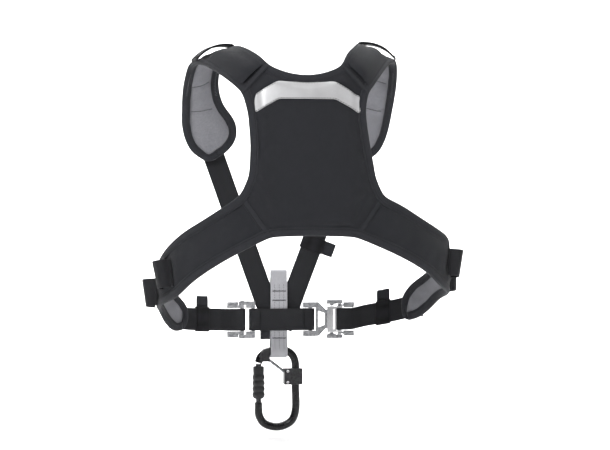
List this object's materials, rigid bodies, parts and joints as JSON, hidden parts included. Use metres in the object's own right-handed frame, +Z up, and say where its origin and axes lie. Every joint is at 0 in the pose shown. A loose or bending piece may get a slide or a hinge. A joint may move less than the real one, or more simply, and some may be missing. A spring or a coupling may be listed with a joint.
{
  "type": "safety harness vest",
  "caption": "Padded chest harness with shoulder straps, side wings, a buckled front belt, a webbing attachment loop and a locking carabiner.",
  "frame": {"origin": "on the axis of the wearer's torso, at the height of the chest belt", "axes": "+Z up the wearer's body, +Y to the wearer's front, +X to the wearer's right"},
  "size_m": [0.3991, 0.2485, 0.5015],
  "materials": {
    "cover_fabric": "charcoal woven shell cloth, matt",
    "foam": "closed-cell foam",
    "lining_fabric": "grey brushed lining",
    "binding_tape": "dark grey ribbed tape",
    "reflector": "light grey reflective cloth",
    "webbing": "dark polyester webbing",
    "elastic": "dark elastic webbing",
    "grey_webbing": "grey load-bearing webbing",
    "buckle_metal": "satin, fine blasted",
    "bright_metal": "polished",
    "black_metal": "satin black anodised",
    "black_plastic": "fine texture",
    "grey_rod": "satin"
  },
  "bodies": {
    "harness": {"back_panel_cover": "cover_fabric", "shoulder_left_cover": "cover_fabric", "shoulder_right_cover": "cover_fabric", "wing_left_cover": "cover_fabric", "wing_right_cover": "cover_fabric", "back_panel_foam": "foam", "shoulder_left_foam": "foam", "shoulder_right_foam": "foam", "wing_left_foam": "foam", "wing_right_foam": "foam", "back_panel_lining": "lining_fabric", "shoulder_left_lining": "lining_fabric", "shoulder_right_lining": "lining_fabric", "wing_left_lining": "lining_fabric", "wing_right_lining": "lining_fabric", "neck_binding": "binding_tape", "hem_binding": "binding_tape", "armhole_binding_left": "binding_tape", "armhole_binding_right": "binding_tape", "size_label": "binding_tape", "reflective_strip": "reflector", "bridge_loop_left": "webbing", "bridge_loop_right": "webbing", "tool_loop_rear_left": "webbing", "tool_loop_front_left": "webbing", "tool_loop_rear_right": "webbing", "tool_loop_front_right": "webbing", "belt_webbing_left": "webbing", "belt_webbing_right": "webbing", "centre_band": "webbing", "diagonal_webbing_left": "webbing", "diagonal_webbing_right": "webbing", "attachment_loop": "grey_webbing", "adjuster_frame": "buckle_metal", "buckle_receiver": "bright_metal"},
    "carabiner": {"carabiner_frame": "black_metal", "gate_pin": "bright_metal", "clamp_back": "black_plastic", "clamp_front": "black_plastic", "clamp_screw_upper": "bright_metal", "clamp_screw_lower": "bright_metal", "positioning_rod": "grey_rod", "nose_clip": "black_plastic"},
    "gate": {"gate": "black_metal"},
    "sleeve_guide": {"sleeve_guide": "black_metal"},
    "lock_sleeve": {"lock_sleeve": "black_metal"},
    "adjuster_rocker": {"adjuster_rocker": "buckle_metal"},
    "buckle_tongue": {"buckle_tongue": "buckle_metal"},
    "buckle_rocker": {"buckle_rocker": "buckle_metal"},
    "release_tab_top": {"release_tab_top": "buckle_metal"},
    "release_tab_bottom": {"release_tab_bottom": "buckle_metal"},
    "belt_keeper_left": {"belt_keeper_left": "elastic"},
    "belt_keeper_right": {"belt_keeper_right": "elastic"},
    "strap_keeper": {"strap_keeper": "elastic"}
  },
  "joints": [
    {"name": "carabiner_swing", "type": "hinge", "parent": "harness", "child": "carabiner", "pos_m": [-0.013, 0.1194, -0.0397], "axis": [1, 0, 0], "range_deg": [-5, 90]},
    {"name": "gate_swing", "type": "hinge", "parent": "carabiner", "child": "gate", "pos_m": [-0.0396, 0.1194, -0.112], "axis": [0, 1, 0], "range_deg": [0, 20], "stiffness_Nm_per_rad": 0.12, "springref_deg": -20.05},
    {"name": "sleeve_slide", "type": "slide", "parent": "gate", "child": "sleeve_guide", "axis": [0, 0, -1], "range_m": [0, 0.005], "stiffness_N_per_m": 400, "springref_m": -0.003},
    {"name": "sleeve_twist", "type": "hinge", "parent": "sleeve_guide", "child": "lock_sleeve", "pos_m": [-0.0396, 0.1194, -0.082], "axis": [0, 0, 1], "range_deg": [0, 90], "stiffness_Nm_per_rad": 0.02, "springref_deg": -17.19},
    {"name": "tongue_swing", "type": "hinge", "parent": "harness", "child": "buckle_tongue", "pos_m": [0.0291, 0.1169, 0.001], "axis": [0, 0, 1], "range_deg": [0, 45]},
    {"name": "adjuster_pivot", "type": "hinge", "parent": "harness", "child": "adjuster_rocker", "pos_m": [-0.0614, 0.1169, 0.001], "axis": [0, 0, -1], "range_deg": [0, 30]},
    {"name": "buckle_pivot", "type": "hinge", "parent": "harness", "child": "buckle_rocker", "pos_m": [0.068, 0.1169, 0.001], "axis": [0, 0, 1], "range_deg": [0, 30]},
    {"name": "release_press_top", "type": "slide", "parent": "harness", "child": "release_tab_top", "axis": [0, 0, -1], "range_m": [0, 0.0025], "stiffness_N_per_m": 1200, "springref_m": -0.0012},
    {"name": "release_press_bottom", "type": "slide", "parent": "harness", "child": "release_tab_bottom", "axis": [0, 0, 1], "range_m": [0, 0.0025], "stiffness_N_per_m": 1200, "springref_m": -0.0012},
    {"name": "keeper_slide_left", "type": "slide", "parent": "harness", "child": "belt_keeper_left", "axis": [-0.8563, -0.5138, 0.0535], "range_m": [-0.01, 0.01]},
    {"name": "keeper_slide_right", "type": "slide", "parent": "harness", "child": "belt_keeper_right", "axis": [0.8393, -0.5102, 0.1877], "range_m": [-0.01, 0.007]},
    {"name": "keeper_slide_strap", "type": "slide", "parent": "harness", "child": "strap_keeper", "axis": [0.3404, -0.0982, 0.9351], "range_m": [-0.015, 0.015]}
  ]
}
